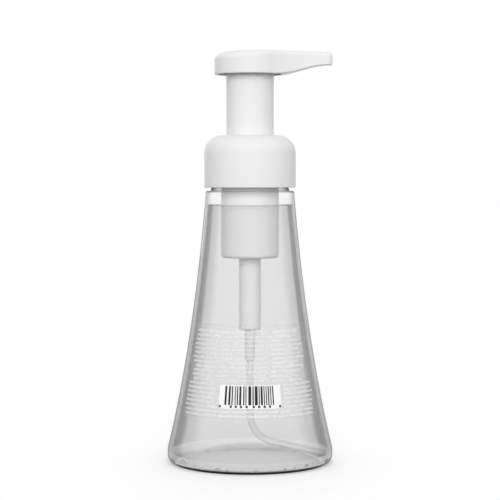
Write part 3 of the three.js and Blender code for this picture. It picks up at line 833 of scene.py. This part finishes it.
class SOAP_OT_liquid(Operator):
    """Liquid soap up to its level, around the pump that hangs in it"""

    bl_idname = "soap_bottle.liquid"
    bl_label = "Liquid soap"

    def execute(self, context):
        sizes = context.scene.soap_bottle
        finishes = context.scene.soap_finishes
        gap = sizes.liquid_gap / MM
        level = sizes.liquid_level / MM
        flat = level - 0.6
        rim = flare_radius(level) - sizes.wall / MM - gap
        around_pump = [
            (0, TUBE_BEND_TOP),
            (TUBE_RADIUS + gap, TUBE_BEND_TOP),
            (TUBE_RADIUS + gap, NIPPLE_BOTTOM - gap),
            (NIPPLE_RADIUS + gap, NIPPLE_BOTTOM - gap),
            (NIPPLE_RADIUS + gap, LIQUID_BOTTOM - gap),
            (LIQUID_RADIUS + gap, LIQUID_BOTTOM - gap),
            (LIQUID_RADIUS + gap, AIR_BOTTOM - gap),
            (AIR_RADIUS + gap, AIR_BOTTOM - gap),
            (AIR_RADIUS + gap, level),
        ]
        surface = [
            *curve((AIR_RADIUS + gap, level), (14.5, level - 0.5), (15, flat), (15.8, flat)),
            *curve((rim - 1.6, flat), (rim - 0.8, flat), (rim - 0.3, level - 0.5), (rim, level)),
        ]
        bm = bmesh.new()
        turn(bm, around_pump, 1, sizes.steps)
        turn(bm, surface, 2, sizes.steps)
        side, floor = inside_of_bottle(sizes, gap, level)
        turn(bm, side, 0, sizes.steps)
        turn(bm, floor, 3, sizes.steps)
        soap = link_mesh(bm, "liquid_soap")
        materials = [liquid(finishes), liquid_hole(finishes), liquid_top(), liquid_base(finishes)]
        finish_piece(soap, "bottle_body", "liquid_soap", materials, "soap_fill")
        return {"FINISHED"}


def on_label(u, height, out):
    """Point on the label for millimetres along it from its middle, above the floor and out of it."""
    angle = -math.pi / 2 + u / flare_radius(LABEL_MIDDLE)
    radius = flare_radius(height) + LABEL_GAP + LABEL_FILM + out
    return Vector((radius * math.cos(angle), radius * math.sin(angle), height)) * MM


def print_patch(bm, left, right, bottom, top, finish, layer=0):
    """A flat patch of ink from corner to corner, bent onto the label."""
    columns = math.ceil((right - left) / 2)
    size = Matrix.Diagonal(((right - left) / 2, (top - bottom) / 2, 1, 1))
    lift = INK_LIFT + layer * INK_THICKNESS
    place = Matrix.Translation(((left + right) / 2, (bottom + top) / 2, lift)) @ size
    patch = bmesh.new()
    bmesh.ops.create_grid(patch, x_segments=columns, y_segments=1, size=1, matrix=place)
    made = bmesh.ops.extrude_face_region(patch, geom=patch.faces[:])["geom"]
    raised = [g for g in made if isinstance(g, bmesh.types.BMVert)]
    bmesh.ops.translate(patch, vec=(0, 0, INK_THICKNESS), verts=raised)
    for vert in patch.verts:
        vert.co = on_label(*vert.co)
    for face in patch.faces:
        face.material_index = finish
    join(bm, patch)


def print_line(bm, draw, left, right, base, size, finish=WHITE_INK):
    """A line of small blocks in word-like groups."""
    at = left
    while at < right:
        for _ in range(draw.randint(2, 6)):
            width = size * draw.uniform(0.7, 1.9)
            if at + width > right:
                return
            top = base + size * (1.3 if draw.random() < 0.15 else 1.0)
            print_patch(bm, at, at + width, base, top, finish)
            at += width + size * 0.16
        at += size * 0.5


def print_ring(bm, middle, height, radius, width):
    """A small plain ring of short strokes."""
    for step in range(20):
        angle = math.tau * step / 20
        u = middle + radius * math.cos(angle)
        v = height + radius * math.sin(angle)
        print_patch(bm, u - width / 2, u + width / 2, v - width / 2, v + width / 2, WHITE_INK)


class SOAP_OT_label(Operator):
    """Clear film label with lines of white blocks, a ring mark and a white panel of plain bars"""

    bl_idname = "soap_bottle.label"
    bl_label = "Rear label"

    def execute(self, context):
        finishes = context.scene.soap_finishes
        bm = bmesh.new()
        wall = flare_between(LABEL_BOTTOM, LABEL_TOP, LABEL_GAP)
        back = [Vector((p.x + LABEL_FILM, p.y)) for p in reversed(wall)]
        turn(bm, [*wall, *back], 0, LABEL_FACETS, closed=True, angle=2 * LABEL_HALF_ANGLE)
        start = Matrix.Rotation(-math.pi / 2 - LABEL_HALF_ANGLE, 4, "Z")
        bmesh.ops.transform(bm, matrix=start, verts=bm.verts)
        film = link_mesh(bm, "label_film")
        finish_piece(film, "bottle_body", "label_film", [label_film()], "rear_label")
        self.add_print(finishes)
        return {"FINISHED"}

    def add_print(self, finishes):
        draw = random.Random(11)
        bm = bmesh.new()
        panel_left, panel_right, panel_bottom, panel_top = PANEL
        edge = LABEL_HALF_ANGLE * flare_radius(LABEL_MIDDLE) - 1.0
        for row in range(ROW_COUNT):
            base = ROW_TOP - row * ROW_PITCH
            size = 1.25 if row == 0 else 0.9
            if panel_bottom - 1.2 < base < panel_top + 0.2:
                print_line(bm, draw, -edge, panel_left - 1.4, base, size)
                print_line(bm, draw, panel_right + 1.6, edge, base, size)
            elif row < WIDE_ROWS:
                start = -14.0 - draw.uniform(0, 4)
                print_line(bm, draw, -edge + draw.uniform(0, 3), start, base, size)
                print_line(bm, draw, start + 0.4, 8.2, base, size, FAINT_INK)
                print_line(bm, draw, 9.6 + draw.uniform(0, 2), edge - draw.uniform(0, 8), base, size)
            else:
                print_line(bm, draw, -edge + 1, edge - 1, base, size)
        print_ring(bm, *RING_MARK, 2.7, 0.8)
        print_patch(bm, *PANEL, PANEL_INK)
        at, last, bottom, top = BARS
        while at < last:
            width = draw.choice(BAR_WIDTHS)
            print_patch(bm, at, at + width, bottom, top, DARK_INK, 1)
            at += width + draw.choice(BAR_GAPS)
        for dot in DOTS:
            print_patch(bm, dot - DOT_HALF, dot + DOT_HALF, *DOT_HEIGHTS, DARK_INK, 1)
        printed = link_mesh(bm, "label_print")
        materials = [
            ink("white_ink", (0.97, 0.97, 0.97), 0.42),
            ink("dark_ink", finishes.dark_ink, 0.97),
            ink("panel_ink", (0.96, 0.96, 0.96), 0.97),
            ink("faint_ink", (0.97, 0.97, 0.97), 0.2),
        ]
        finish_piece(printed, "bottle_body", "label_film", materials)


class SOAP_OT_closure(Operator):
    """White screw closure: a skirt that rounds over into a flat top with a hole for the sleeve"""

    bl_idname = "soap_bottle.closure"
    bl_label = "Closure"

    def execute(self, context):
        finishes = context.scene.soap_finishes
        bm = bmesh.new()
        outline = rounded(
            [
                (19.6, 132.2, 0.3),
                (21.9, 132.2, 0.45),
                (21.9, 157.1, 8.5),
                (11.9, 157.1, 0.35),
                (11.9, 154.2, 0.2),
                (15.2, 154.2, 0.2),
                (15.2, 155.5, 0.3),
                (19.6, 155.5, 4.0),
            ],
            steps=10,
        )
        thread(bm, 19.6, 0.9, THREAD_BOTTOM - THREAD_PITCH / 2, 1.05)
        turn(bm, outline, 0, 160, closed=True)
        closure = link_mesh(bm, "screw_closure")
        material = moulded_plastic("white_moulding", finishes.white, 0.36)
        finish_piece(closure, "closure_body", "white_moulding", [material], "closure")
        return {"FINISHED"}


class SOAP_OT_housing(Operator):
    """Pump housing: flange, air cylinder, liquid cylinder and nipple in one milky moulding"""

    bl_idname = "soap_bottle.housing"
    bl_label = "Pump housing"

    def execute(self, context):
        finishes = context.scene.soap_finishes
        bm = bmesh.new()
        outline = rounded(
            [
                (AIR_BORE, 152.4),
                (AIR_BORE, 100, 0.6),
                (LIQUID_BORE + 0.6, 100),
                (LIQUID_BORE, 99.2),
                (LIQUID_BORE, 66.1, 0.2),
                (2.3, 66.1),
                (1.1, 64.9),
                (1.1, 62.5),
                (1.8, 62.5),
                (1.8, NIPPLE_BOTTOM),
                (2.2, NIPPLE_BOTTOM),
                (NIPPLE_RADIUS, NIPPLE_BOTTOM + 1.5),
                (NIPPLE_RADIUS, LIQUID_BOTTOM, 0.4),
                (LIQUID_RADIUS, LIQUID_BOTTOM, 0.9),
                (LIQUID_RADIUS, AIR_BOTTOM, 0.8),
                (AIR_RADIUS, AIR_BOTTOM, 1.6),
                (AIR_RADIUS, 150.9, 0.3),
                (NECK_RADIUS, 150.9, 0.2),
                (NECK_RADIUS, 152.4, 0.2),
            ]
        )
        turn(bm, outline, 0, 128, closed=True)
        housing = link_mesh(bm, "milky_housing")
        # Painted light: the glow brightens the milky housing evenly, as if light shone through it.
        material = moulded_plastic("natural_moulding", finishes.natural, 0.34, glow=0.07)
        finish_piece(housing, "pump_body", "natural_moulding", [material], "pump_housing")
        return {"FINISHED"}


class SOAP_OT_dip_tube(Operator):
    """Translucent dip tube: straight down, one bend, then along the floor to the heel"""

    bl_idname = "soap_bottle.dip_tube"
    bl_label = "Dip tube"

    def execute(self, context):
        corner = Vector((0, 0, TUBE_CORNER))
        end = Vector((TUBE_END[0], 0, TUBE_END[1]))
        bend_top = Vector((0, 0, TUBE_BEND_TOP))
        bend_end = corner + (end - corner).normalized() * (TUBE_BEND_TOP - TUBE_CORNER)
        handles = (bend_top.lerp(corner, 2 / 3), bend_end.lerp(corner, 2 / 3))
        bend = curve(bend_top, *handles, bend_end, steps=24)
        path = [Vector((0, 0, TUBE_TOP)), Vector((0, 0, 43)), *bend, end]
        bm = bmesh.new()
        sweep(bm, path, TUBE_RADIUS, 32, TUBE_BORE)
        tube = link_mesh(bm, "clear_dip_tube")
        finish_piece(tube, "pump_body", "tube_plastic", [tube_plastic()], "dip_tube")
        return {"FINISHED"}


class SOAP_OT_spring(Operator):
    """Return spring under the plunger's stem"""

    bl_idname = "soap_bottle.spring"
    bl_label = "Return spring"

    def execute(self, context):
        low = SPRING_BOTTOM + SPRING_WIRE
        rise = SPRING_TOP - SPRING_BOTTOM - 2 * SPRING_WIRE
        path = []
        for step in range(SPRING_TURNS * 28 + 1):
            share = step / (SPRING_TURNS * 28)
            turned = Matrix.Rotation(math.tau * SPRING_TURNS * share, 3, "Z")
            path.append(turned @ Vector((SPRING_RADIUS, 0, low + rise * share)))
        bm = bmesh.new()
        sweep(bm, path, SPRING_WIRE, 12)
        spring = link_mesh(bm, "steel_spring")
        finish_piece(spring, "pump_body", "steel", [steel()], "return_spring")
        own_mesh(spring)
        return {"FINISHED"}


class SOAP_OT_valve_balls(Operator):
    """The two steel balls that close the pump's liquid valves"""

    bl_idname = "soap_bottle.valve_balls"
    bl_label = "Valve balls"

    def execute(self, context):
        material = steel()
        rows = (("inlet_ball", "inlet_valve", 1.9), ("outlet_ball", "outlet_valve", 1.8))
        for node, body, radius in rows:
            low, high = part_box(node)
            bm = bmesh.new()
            bmesh.ops.create_uvsphere(bm, u_segments=32, v_segments=18, radius=radius * MM)
            bmesh.ops.translate(bm, vec=(low + high) / 2, verts=bm.verts)
            ball = link_mesh(bm, f"steel_{node}")
            finish_piece(ball, body, "steel", [material], node)
        return {"FINISHED"}


class SOAP_OT_sleeve(Operator):
    """Glossy white sleeve between the closure and the head"""

    bl_idname = "soap_bottle.sleeve"
    bl_label = "Sleeve"

    def execute(self, context):
        finishes = context.scene.soap_finishes
        bm = bmesh.new()
        outline = rounded([(10.2, 120.7, 0.2), (11.4, 120.7, 0.3), (11.4, 189, 0.2), (10.2, 189, 0.2)])
        turn(bm, outline, 0, 128, closed=True)
        sleeve = link_mesh(bm, "glossy_sleeve")
        material = moulded_plastic("white_sleeve", finishes.white, 0.3)
        finish_piece(sleeve, "head", "white_sleeve", [material], "stem_sleeve")
        return {"FINISHED"}


def carved(target, operation, tool):
    """Joins a helper solid to another or cuts it away, and removes the helper."""
    modifier = target.modifiers.new(operation, "BOOLEAN")
    modifier.operation = operation
    modifier.solver = "EXACT"
    modifier.object = tool
    shapes = bpy.context.evaluated_depsgraph_get()
    mesh = bpy.data.meshes.new_from_object(target.evaluated_get(shapes))
    target.modifiers.clear()
    target.data = mesh
    bpy.data.objects.remove(tool)


def head_plan():
    """Half of the head's outline from above, from the middle of its back to the spout's flat tip."""
    leave = Vector((math.cos(LEAVE_ANGLE), math.sin(LEAVE_ANGLE))) * HEAD_RADIUS
    pull = leave + Vector((math.sin(LEAVE_ANGLE), -math.cos(LEAVE_ANGLE))) * PLAN_PULL
    back = []
    for step in range(41):
        angle = math.pi + (LEAVE_ANGLE - math.pi) * step / 40
        back.append(Vector((HEAD_RADIUS * math.cos(angle), HEAD_RADIUS * math.sin(angle))))
    tip = Vector((SPOUT_REACH, SPOUT_HALF))
    side = curve(leave, leave.lerp(pull, 2 / 3), tip.lerp(pull, 2 / 3), tip, steps=32)
    side = [p for p in side if p.x < SPOUT_REACH - SPOUT_CORNER - 0.4]
    front = rounded([side[-1], (*tip, SPOUT_CORNER), (SPOUT_REACH, 0)])
    return [*back, *side[1:], *front[1:-1]]


def underside(x):
    """Height of the head's lower edge at a place along the spout."""
    points = curve(*UNDERSIDE, steps=40)
    if x <= points[0].x:
        return HEAD_BOTTOM
    for low, high in zip(points, points[1:]):
        if low.x <= x <= high.x:
            return low.y + (high.y - low.y) * (x - low.x) / (high.x - low.x)
    return points[-1].y


def smoothstep(value):
    t = min(1.0, max(0.0, value))
    return t * t * (3 - 2 * t)


class SOAP_OT_head(Operator):
    """White head: round back, level top and a spout whose underside sweeps up, hollow beneath"""

    bl_idname = "soap_bottle.head"
    bl_label = "Head"

    def execute(self, context):
        finishes = context.scene.soap_finishes
        head = self.outer_shape()
        carved(head, "DIFFERENCE", self.solid([(0, 185), (15.4, 185), (15.4, 194.8, 1.2), (0, 194.8)]))
        for shape, operation in self.fittings():
            carved(head, operation, shape)
        head.data.transform(Matrix.Scale(MM, 4))
        for polygon in head.data.polygons:
            polygon.material_index = 0
        material = moulded_plastic("white_head", finishes.white, 0.34)
        finish_piece(head, "head", "white_moulding", [material], "actuator_head")
        head.modifiers.new("even_shading", "WEIGHTED_NORMAL").keep_sharp = True
        return {"FINISHED"}

    def outer_shape(self):
        bm = bmesh.new()
        verts = [bm.verts.new((p.x, p.y, HEAD_TOP)) for p in head_plan()]
        edges = [bm.edges.new(pair) for pair in zip(verts, verts[1:])]
        made = bmesh.ops.extrude_edge_only(bm, edges=edges)["geom"]
        for vert in (g for g in made if isinstance(g, bmesh.types.BMVert)):
            vert.co.y *= -1
        bmesh.ops.remove_doubles(bm, verts=bm.verts, dist=MERGE / MM)
        made = bmesh.ops.extrude_face_region(bm, geom=list(bm.faces))["geom"]
        for vert in (g for g in made if isinstance(g, bmesh.types.BMVert)):
            vert.co.z = underside(vert.co.x)
        bmesh.ops.recalc_face_normals(bm, faces=bm.faces)
        self.round_rim(bm, HEAD_TOP - 0.01, HEAD_TOP + 1, TOP_ROUND, 7)
        self.round_rim(bm, HEAD_BOTTOM - 1, HEAD_BOTTOM + 6.0, LOWER_ROUND, 3)
        self.soften_back(bm)
        return link_mesh(bm, "pump_head")

    @staticmethod
    def round_rim(bm, low, high, reach, segments):
        """Rounds the edges between the walls and the level or swept faces within a range of heights."""
        rim = []
        for edge in bm.edges:
            if not all(low <= vert.co.z <= high for vert in edge.verts) or len(edge.link_faces) != 2:
                continue
            steep = [abs(face.normal.z) < 0.3 for face in edge.link_faces]
            if steep[0] != steep[1]:
                rim.append(edge)
        bmesh.ops.bevel(
            bm,
            geom=rim,
            offset=reach,
            offset_type="OFFSET",
            segments=segments,
            profile=0.5,
            affect="EDGES",
            material=-1,
        )

    @staticmethod
    def soften_back(bm):
        """Lets the top's round grow from the spout to the back, and the spout's top fall a little."""
        leave = HEAD_RADIUS * math.cos(LEAVE_ANGLE)
        for vert in bm.verts:
            drop = HEAD_TOP - vert.co.z
            if vert.co.x > SPOUT_START and drop < TOP_ROUND + ROUND_SPARE:
                vert.co.z -= SPOUT_FALL * (vert.co.x - SPOUT_START) / (SPOUT_REACH - SPOUT_START)
            if drop > TOP_ROUND + ROUND_SPARE or vert.co.x > leave:
                continue
            share = smoothstep((leave - vert.co.x) / HEAD_RADIUS)
            out = math.hypot(vert.co.x, vert.co.y)
            inset = max(0.0, HEAD_RADIUS - out) * (1 + share * (BACK_ROUND[0] / TOP_ROUND - 1))
            scale = max(0.0, HEAD_RADIUS - inset) / out
            vert.co.x *= scale
            vert.co.y *= scale
            vert.co.z = HEAD_TOP - drop * (1 + share * (BACK_ROUND[1] / TOP_ROUND - 1))

    @staticmethod
    def solid(corners, facets=96):
        """A helper solid turned around the Z axis, in millimetres."""
        bm = bmesh.new()
        turn(bm, [p / MM for p in rounded(corners)], 0, facets)
        bmesh.ops.remove_doubles(bm, verts=bm.verts, dist=MERGE / MM)
        return link_mesh(bm, "helper")

    @staticmethod
    def block(size, centre, angle=0.0):
        bm = bmesh.new()
        made = bmesh.ops.create_cube(bm, size=1)["verts"]
        place = Matrix.Rotation(angle, 4, "Z") @ Matrix.Translation(centre) @ Matrix.Diagonal((*size, 1))
        bmesh.ops.transform(bm, matrix=place, verts=made)
        return link_mesh(bm, "helper")

    def fittings(self):
        """The centre tube, the spout's duct in its boss, and the ribs under the top."""
        yield self.solid([(0, 126.8), (5, 126.8), (5, 195.5), (0, 195.5)], 64), "UNION"
        yield self.block((15.9, 6.8, 6.0), (7.95, 0, 192.3)), "UNION"
        for rib in range(1, 6):
            yield self.block((12.9, 1.2, 6.0), (9.45, 0, 192.3), math.tau * rib / 6), "UNION"
        bore = [(0, 125.8), (3.7, 125.8), (3.7, 160.8), (2.6, 160.8), (2.6, 195.2), (0, 195.2)]
        yield self.solid(bore, 64), "DIFFERENCE"
        yield self.block((41.3, 4.4, 3.2), (20.65, 0, 193.6)), "DIFFERENCE"


INNER_PARTS = (
    ("neck_gasket", "foam", (0.62, 0.62, 0.6), 0.8),
    ("guide_collar", "white", (0.88, 0.88, 0.88), 0.4),
    ("ball_cage", "natural", (0.8, 0.8, 0.8), 0.35),
    ("liquid_piston", "seal", (0.78, 0.78, 0.75), 0.5),
    ("piston_stem", "natural", (0.8, 0.8, 0.8), 0.35),
    ("air_piston", "seal", (0.78, 0.78, 0.75), 0.5),
    ("air_inlet_flap", "rubber", (0.6, 0.62, 0.62), 0.6),
    ("mesh_cartridge", "natural", (0.8, 0.8, 0.8), 0.35),
    ("mesh_screen_lower", "mesh", (0.75, 0.75, 0.75), 0.7),
    ("mesh_screen_upper", "mesh", (0.75, 0.75, 0.75), 0.7),
)


class SOAP_OT_inner_parts(Operator):
    """Finishes of the pump's hidden pieces"""

    bl_idname = "soap_bottle.inner_parts"
    bl_label = "Inner parts"

    def execute(self, context):
        made = {}
        for node, kind, colour, roughness in INNER_PARTS:
            if kind not in made:
                maker = woven_mesh if kind == "mesh" else moulded_plastic
                made[kind] = maker(f"inner_{kind}", colour, roughness)
            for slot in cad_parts[node].material_slots:
                slot.material = made[kind]
        return {"FINISHED"}


def woven_mesh(name, colour, roughness):
    """Fine woven nylon: two crossing sets of threads."""
    finish = new_finish(name)
    thread_pitch = 0.25 * MM
    waves = [finish.along(axis) * (math.tau / thread_pitch) for axis in ("X", "Y")]
    across, along = (wave.maths("SINE", wave) for wave in waves)
    weave = (across * along * 0.5 + 0.5).held()
    shade = finish.mixed(weave, rgba(c * 0.7 for c in colour), rgba(colour))
    return finish.shown(
        Base_Color=shade,
        Roughness=roughness,
        Normal=finish.bump(weave, 0.05 * MM),
    )


class SOAP_OT_stage(Operator):
    """Pale floor, soft studio light and the camera"""

    bl_idname = "soap_bottle.stage"
    bl_label = "Stage"

    def execute(self, context):
        stage = context.scene.soap_stage
        self.add_camera(context, stage)
        self.add_floor()
        self.add_world(context, stage)
        self.add_lamps(context, stage)
        scene = context.scene
        scene.view_settings.view_transform = "Standard"
        scene.cycles.transparent_max_bounces = 40
        scene.cycles.max_bounces = 10
        scene.cycles.diffuse_bounces = 4
        return {"FINISHED"}

    @staticmethod
    def add_camera(context, stage):
        lens = bpy.data.cameras.new("camera")
        lens.lens = stage.lens
        lens.sensor_width = 36.0
        camera = bpy.data.objects.new("camera", lens)
        place = Vector((0, -stage.camera_distance, stage.camera_height))
        camera.location = place
        aim = Vector((0, 0, stage.aim_height)) - place
        camera.rotation_euler = aim.to_track_quat("-Z", "Y").to_euler()
        context.scene.collection.objects.link(camera)
        context.scene.camera = camera

    @staticmethod
    def add_floor():
        bm = bmesh.new()
        bmesh.ops.create_grid(bm, x_segments=1, y_segments=1, size=FLOOR_HALF)
        floor = link_mesh(bm, "floor")
        finish = new_finish("floor")
        seen = finish.on_rays("Camera", "Glossy")
        shade = finish.mixed(seen, rgba(FLOOR_SHADE), rgba(FLOOR_SEEN))
        base = finish.node("ShaderNodeBsdfDiffuse", sockets={"Color": shade})
        glow = finish.node("ShaderNodeEmission", sockets={"Strength": seen * FLOOR_LIFT})
        surface = finish.node("ShaderNodeAddShader", sockets={0: base, 1: glow})
        finish.node("ShaderNodeOutputMaterial", sockets={"Surface": surface})
        floor.data.materials.append(finish.owner)
        floor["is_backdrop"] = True

    @staticmethod
    def add_world(context, stage):
        world = bpy.data.worlds.new("studio")
        context.scene.world = world
        finish = Finish(world)
        seen = finish.on_rays("Camera", "Glossy", "Transmission")
        strength = seen * (1.0 - stage.fill) + stage.fill
        white = {"Color": rgba(1.0), "Strength": strength}
        backdrop = finish.node("ShaderNodeBackground", sockets=white)
        finish.node("ShaderNodeOutputWorld", sockets={"Surface": backdrop})

    @staticmethod
    def add_lamps(context, stage):
        soft = (
            ("key", 0, KEY_HEIGHT, stage.key, KEY_SPREAD),
            ("right_rim", RIM_BEARING, RIM_HEIGHT, stage.rim, RIM_SPREAD),
            ("left_rim", -RIM_BEARING, RIM_HEIGHT, stage.rim, RIM_SPREAD),
        )
        for name, bearing, height, energy, spread in soft:
            sun = bpy.data.lights.new(name, "SUN")
            sun.energy = energy
            sun.angle = math.radians(spread)
            lamp = bpy.data.objects.new(name, sun)
            lamp.visible_glossy = False
            lamp.rotation_euler = (math.radians(90 - height), 0, math.radians(bearing))
            context.scene.collection.objects.link(lamp)
        for name, bearing in STRIP_BEARINGS:
            area = bpy.data.lights.new(name, "AREA")
            area.shape = "RECTANGLE"
            area.size = STRIP_WIDTH
            area.size_y = STRIP_HEIGHT
            area.energy = STRIP_RADIANCE * math.pi * STRIP_WIDTH * STRIP_HEIGHT
            strip = bpy.data.objects.new(name, area)
            strip.visible_diffuse = False
            turned = Matrix.Rotation(math.radians(bearing), 4, "Z")
            strip.location = turned @ Vector((0, -STRIP_DISTANCE, STRIP_CENTRE))
            strip.rotation_euler = (math.pi / 2, 0, math.radians(bearing))
            context.scene.collection.objects.link(strip)


STEPS = (
    SOAP_OT_stage,
    SOAP_OT_bottle,
    SOAP_OT_liquid,
    SOAP_OT_label,
    SOAP_OT_closure,
    SOAP_OT_housing,
    SOAP_OT_dip_tube,
    SOAP_OT_spring,
    SOAP_OT_valve_balls,
    SOAP_OT_sleeve,
    SOAP_OT_head,
    SOAP_OT_inner_parts,
)


class SOAP_PT_bottle(Panel):
    """Lists the bottle's pieces and settings"""

    bl_label = "Soap Bottle"
    bl_space_type = "VIEW_3D"
    bl_region_type = "UI"
    bl_category = "Soap Bottle"

    def draw(self, context):
        scene = context.scene
        for group in (scene.soap_bottle, scene.soap_finishes, scene.soap_stage):
            box = self.layout.box()
            for name in group.bl_rna.properties.keys():
                if name not in ("rna_type", "name"):
                    box.prop(group, name)
        for step in STEPS:
            self.layout.operator(step.bl_idname)


GROUPS = (
    ("soap_bottle", BottleSizes),
    ("soap_finishes", Finishes),
    ("soap_stage", StageSettings),
)


def register():
    for name, group in GROUPS:
        bpy.utils.register_class(group)
        setattr(bpy.types.Scene, name, PointerProperty(type=group))
    for step in (*STEPS, SOAP_PT_bottle):
        bpy.utils.register_class(step)


def unregister():
    for step in (SOAP_PT_bottle, *reversed(STEPS)):
        bpy.utils.unregister_class(step)
    for name, group in reversed(GROUPS):
        delattr(bpy.types.Scene, name)
        bpy.utils.unregister_class(group)


def main():
    register()
    for step in STEPS:
        family, name = step.bl_idname.split(".")
        getattr(getattr(bpy.ops, family), name)()
    boxes = {"cad": CAD_BOX, "visual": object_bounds()}
    {name: [list(corner) for corner in box] for name, box in boxes.items()}


if __name__ == "__main__":
    main()
